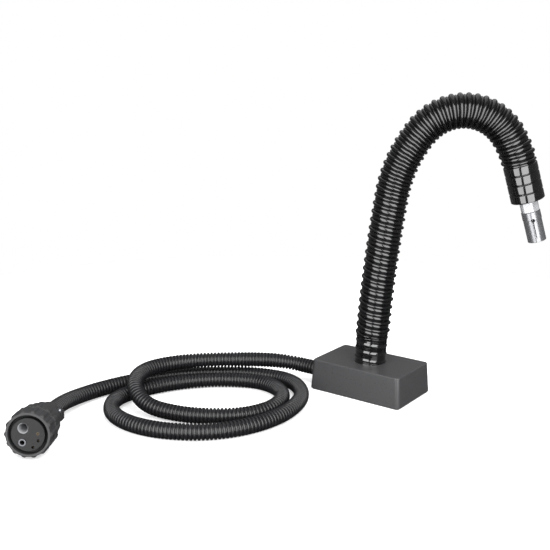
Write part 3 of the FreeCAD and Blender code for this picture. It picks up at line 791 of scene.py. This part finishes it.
class FUMEARM_OT_plug(bpy.types.Operator):
    """Makes the plug at the hose's end"""
    bl_idname = "fume_arm.plug"
    bl_label = "Plug"

    def execute(self, context):
        plug = settings().plug
        place = frame_at(PLUG_FRONT, FACE_AXIS, FACE_RIGHT)
        lobe_turn = 2.0 * math.pi / plug.lobes
        outer = plug.radius / MM
        length = plug.length / MM

        def lobed(angle, radius, height):
            if radius < LOBES_FROM * MM:
                return radius
            off = (angle + lobe_turn / 2.0) % lobe_turn - lobe_turn / 2.0
            spread = (outer - LOBE_RADIUS) * MM
            reach = (LOBE_RADIUS * MM) ** 2 - (spread * math.sin(off)) ** 2
            lobe = spread * math.cos(off) + math.sqrt(reach) if reach > 0.0 else 0.0
            return min(radius, max((outer - LOBE_HEIGHT) * MM, lobe))

        def waisted(angle, radius, height):
            if not WAIST_LOW * MM < height < WAIST_HIGH * MM or radius < WAIST_FROM * MM:
                return radius
            off = (angle + math.pi / 8.0) % (math.pi / 4.0) - math.pi / 8.0
            return min(radius, WAIST_FLATS * MM / math.cos(off))

        def six_sided(angle, radius, height):
            off = (angle + math.pi / 6.0) % (math.pi / 3.0) - math.pi / 6.0
            return min(radius, BACK_NUT_FLATS * MM / math.cos(off))

        ring = lathe("grip_ring", [
            (20.6, 0.0, 0.4), (outer - 2.2, 0.0, 0.5), (outer - 1.2, -1.0, 0), (outer - 0.6, -1.6, 0),
            (outer, -2.2, 0.6), (outer, -18.0, 0.5), (21.5, -18.6, 0.3), (21.5, -20.9, 0.3),
            (outer - 0.4, -21.5, 0.5), (outer - 0.4, -length, 0.8), (19.3, -length, 0.3),
            (19.3, -12.0, 0), (20.6, -12.0, 0)],
            filled_polyamide(), place, segments=plug.lobes * 20, shape=lobed)
        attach(ring, "plug_ring")
        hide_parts("coupling_ring")

        # The two rows at the waist's top make a sharp step
        shell = lathe("plug_shell", [
            (17.5, -9.0, 0.2), (19.0, -9.0, 0.3), (19.0, -30.5, 0), (22.6, -30.5, 0.4), (22.6, -33.0, 0.5),
            (20.5, -33.0, 0.4), (20.5, -37.99, 0), (20.5, -38.01, 0), (20.5, -50.0, 0.5), (15.0, -50.0, 0.3),
            (15.0, -31.0, 0), (17.5, -31.0, 0)],
            filled_polyamide(), place, segments=160, shape=waisted)
        nut = lathe("plug_back_nut", [
            (7.0, -62.0, 0.3), (13.5, -62.0, 0.5), (20.0, -53.05, 0.8), (20.0, -50.05, 0.5),
            (7.0, -50.05, 0)],
            filled_polyamide(), place, segments=144, shape=six_sided)
        insert = lathe("plug_face", [
            (0.0, -24.0, 0), (17.4, -24.0, 0.3), (17.4, -0.5, 0.6), (0.0, -0.5, 0)],
            face_polyamide(), place, segments=128)
        pieces = [(shell, "plug_body"), (nut, "back_nut"), (insert, "plug_insert")]

        ports = [
            ("suction_bore", SUCTION_AT, 5.55, 5.0, -1.6, grey_port(), "port_plastic", "suction_port"),
            ("air_tube", AIR_AT, 3.95, 2.4, 0.4, dull_nickel(), "nozzle_chrome", "air_port")]
        for i, (at, front) in enumerate(zip(CONTACTS_AT, CONTACT_FRONTS)):
            ports.append(("contact_socket_%d" % (i + 1), at, 1.55, 0.8, front, turned_brass(),
                          "contact_brass", "contact_sockets"))
        for name, at, radius, bore, front, material, slot, node in ports:
            spot = place @ Matrix.Translation((at[0] * MM, at[1] * MM, 0.0))
            lip = (radius - bore) * LIP_SHARE
            drill(insert, (radius + DRILL_GAP) * MM, -25.0 * MM, 1.0 * MM, spot)
            port = lathe(name, [
                (bore, -26.0, 0), (radius, -26.0, 0), (radius, front, lip), (bore, front, lip)],
                material, spot, segments=64)
            pieces.append((port, node))
        for piece, node in pieces:
            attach(piece, "root")
            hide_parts(node)

        for node in ("clamp_upper", "clamp_lower"):
            show_node(node, filled_polyamide())
        show_node("clamp_screws", zinc_steel())
        show_node("ring_clip", black_steel())
        show_node("face_seal", seal_rubber())

        hose = bpy.data.objects["ringed_supply_hose"]
        del hose["route"]
        on_hose = [ring] + [piece for piece, _node in pieces]
        on_hose += [frame["nodes"][node] for node in ("clamp_upper", "clamp_lower", "clamp_screws",
                                                      "ring_clip", "face_seal")]
        return {"FINISHED"}


class FUMEARM_OT_base(bpy.types.Operator):
    """Finishes the weighted base, its underside and what is inside it"""
    bl_idname = "fume_arm.base"
    bl_label = "Base"

    def execute(self, context):
        show_node("base_housing", powder_coat())
        show_node("anti_slip_pad", pad_rubber())
        show_node("base_plate", zinc_steel())
        show_node("base_plate_screws", zinc_steel())
        show_node("ballast_screws", zinc_steel())
        show_node("ballast_block", cast_iron())
        show_node("neck_socket", black_nylon())
        show_node("socket_nut", black_nylon())
        show_node("hose_gland", black_nylon())
        show_node("gland_nut", black_nylon())
        show_node("suction_elbow", silicone_duct())
        show_node("air_line", blue_polyurethane())
        show_node("signal_lead", lead_pvc())
        return {"FINISHED"}


class FUMEARM_OT_neck_hose(bpy.types.Operator):
    """Makes the neck's hose with its helical rib, in one stretch round each pivot"""
    bl_idname = "fume_arm.neck_hose"
    bl_label = "Neck hose"

    def execute(self, context):
        ends = [ribs_at(HOSE_FOOT)[0] + 0.5]
        ends += [ribs_at(pivot + PIVOT_SPACING / 2.0)[0] for pivot in PIVOTS[:-1]]
        ends.append(ribs_at(HOSE_TIP)[0])
        ends = [round(end * RIB_SEGMENTS) / RIB_SEGMENTS for end in ends]
        for i, pivot in enumerate(PIVOTS):
            piece = helical_stretch("neck_hose_stretch_%02d" % (i + 1), ends[i], ends[i + 1])
            nodes = ["neck_hose_%02d" % (i + 1)]
            if i == 0:
                nodes.append("neck_hose_00")
            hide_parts(*nodes)
            point, direction, _inward, bend = station(pivot)
            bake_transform(piece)
        for i in range(len(PIVOTS) + 1):
            show_node("gooseneck_core_%02d" % i, zinc_steel())
        return {"FINISHED"}


class FUMEARM_OT_cuffs(bpy.types.Operator):
    """Makes the shrunk cuffs at the neck's foot and tip"""
    bl_idname = "fume_arm.cuffs"
    bl_label = "Cuffs"

    def execute(self, context):
        cuffs = settings().cuffs
        bore = cuffs.bore / MM

        def over_ribs(angle, radius, height):
            if radius < cuffs.bore + 0.3 * MM:
                return radius
            turns = ribs_at(height / MM)[0] + angle / (2.0 * math.pi)
            off = turns - round(turns)
            ridge = math.exp(-(off / RIDGE_SPREAD) ** 2)
            edge = min(1.0, max(0.0, (BOOT_END - height / MM) / RIDGE_FADE))
            return radius - RIDGE_HEIGHT * MM * edge * (1.0 - ridge)

        outer = cuffs.boot_radius / MM
        corners = [(bore, -3.0, 0), (outer, -3.0, 0)]
        corners += [(outer, height / 2.0, 0) for height in range(0, 2 * int(BOOT_END) - 2)]
        corners += [(outer, BOOT_END, 0.6), (bore, BOOT_END, 0.3)]
        place = neck_frame(0.0)
        boot = lathe("foot_cuff", corners, shrink_film(), place, segments=128, shape=over_ribs)
        seat = (BASE_TOP + SEAT_GAP) * MM
        for vertex in boot.data.vertices:
            vertex.co.z = max(vertex.co.z, seat)
        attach(boot, "root")
        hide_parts("neck_boot")

        outer = cuffs.sleeve_radius / MM
        start = SLEEVE_FROM + 0.3
        band = (SLEEVE_TO - start) / SLEEVE_BANDS
        corners = [(bore, SLEEVE_TO, 0.3), (bore, start, 0.3)]
        for i in range(SLEEVE_BANDS):
            low, high = start + band * i, start + band * (i + 1)
            if i:
                corners.append((outer - BAND_GROOVE, low, 0.2))
            corners += [(outer - 0.05, low + BAND_EDGE, 0.3), (outer, low + BAND_EASE, 0),
                        (outer, high - BAND_EASE, 0), (outer - 0.05, high - BAND_EDGE, 0.3)]
        sleeve = lathe("tip_cuff", corners, shrink_film(), tip_frame(), segments=128)
        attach(sleeve, "neck_link_12")
        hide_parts("tip_sleeve")
        return {"FINISHED"}


class FUMEARM_OT_nozzle(bpy.types.Operator):
    """Makes the chromed collar and the slit sleeve that turns on it"""
    bl_idname = "fume_arm.nozzle"
    bl_label = "Nozzle"

    def execute(self, context):
        nozzle = settings().nozzle
        place = tip_frame()
        outer, bore = nozzle.radius / MM, nozzle.bore / MM

        def wrench_flats(angle, radius, height):
            if height < FLATS_FROM * MM or radius < FLATS_INSIDE * MM:
                return radius
            off = (angle + math.pi / 6.0) % (math.pi / 3.0) - math.pi / 6.0
            return min(radius, nozzle.flats / 2.0 / math.cos(off))

        # The two rows where the wrench flats start make a sharp step
        collar = lathe("nozzle_collar_turned", [
            (COLLAR_BORE, COLLAR_FROM, 0), (outer, COLLAR_FROM, 0), (outer, FLATS_FROM - 0.01, 0),
            (outer, FLATS_FROM + 0.01, 0), (outer, COLLAR_TO, 0.5), (SPIGOT_RADIUS, COLLAR_TO, 0),
            (SPIGOT_RADIUS, NOZZLE_STEP - 1.0, 0.3), (COLLAR_BORE, NOZZLE_STEP - 1.0, 0.3)],
            satin_nickel(), place, segments=192, shape=wrench_flats)
        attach(collar, "neck_link_12")
        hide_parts("nozzle_collar")

        sleeve = lathe("nozzle_grip_sleeve", [
            (SLEEVE_BORE, COLLAR_TO + 0.3, 0), (outer + STEP_HEIGHT, COLLAR_TO + 0.3, 0.4),
            (outer + STEP_HEIGHT, NOZZLE_STEP, 0.3), (outer, NOZZLE_STEP, 0.1), (outer, NOZZLE_TO, 0.5),
            (bore, NOZZLE_TO, 0.4), (bore, NOZZLE_STEP, 0), (SLEEVE_BORE, NOZZLE_STEP, 0)],
            chrome_plate(), place, segments=288)
        across = place @ Matrix.Rotation(SLIT_TURN, 4, "Z")
        half = nozzle.slit / 2.0
        box = [across @ Vector((x, y, z)) for z in (NOZZLE_STEP * MM, (NOZZLE_TO + 1.0) * MM)
               for x, y in ((-half, CUT_FROM * MM), (half, CUT_FROM * MM), (half, CUT_TO * MM),
                            (-half, CUT_TO * MM))]
        cut(sleeve, "slit", box, [(3, 2, 1, 0), (4, 5, 6, 7), (0, 1, 5, 4), (1, 2, 6, 5), (2, 3, 7, 6),
                                  (3, 0, 4, 7)])
        hole = across @ Matrix.Translation((0, 0, NOZZLE_STEP * MM)) @ Matrix.Rotation(-math.pi / 2.0, 4, "X")
        drill(sleeve, HOLE_RADIUS * MM, CUT_FROM * MM, CUT_TO * MM, hole)
        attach(sleeve, "nozzle")
        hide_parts("nozzle_sleeve")
        show_node("tip_ferrule", turned_aluminium())
        return {"FINISHED"}


class FUMEARM_PT_pieces(bpy.types.Panel):
    """Lists the settings and the steps that build the arm"""
    bl_idname = "FUMEARM_PT_pieces"
    bl_label = "Fume extraction arm"
    bl_space_type = "VIEW_3D"
    bl_region_type = "UI"
    bl_category = "Fume arm"

    def draw(self, context):
        arm = context.scene.fume_arm
        for group_name in FumeArmSettings.__annotations__:
            group = getattr(arm, group_name)
            box = self.layout.box()
            box.label(text=group_name.capitalize())
            for property_name in group.__annotations__:
                box.prop(group, property_name)
        for operator in OPERATORS:
            self.layout.operator(operator.bl_idname)


GROUPS = (BaseSettings, NeckSettings, CuffSettings, NozzleSettings, HoseSettings, PlugSettings,
          StageSettings, FumeArmSettings)
OPERATORS = (FUMEARM_OT_stage, FUMEARM_OT_supply_hose, FUMEARM_OT_plug, FUMEARM_OT_base,
             FUMEARM_OT_neck_hose, FUMEARM_OT_cuffs, FUMEARM_OT_nozzle)


def register():
    for cls in GROUPS + OPERATORS + (FUMEARM_PT_pieces,):
        bpy.utils.register_class(cls)
    bpy.types.Scene.fume_arm = PointerProperty(type=FumeArmSettings)


def unregister():
    del bpy.types.Scene.fume_arm
    for cls in reversed(GROUPS + OPERATORS + (FUMEARM_PT_pieces,)):
        bpy.utils.unregister_class(cls)


def main():
    register()
    for operator in OPERATORS:
        group, action = operator.bl_idname.split(".")
        getattr(getattr(bpy.ops, group), action)()


if __name__ == "__main__":
    main()
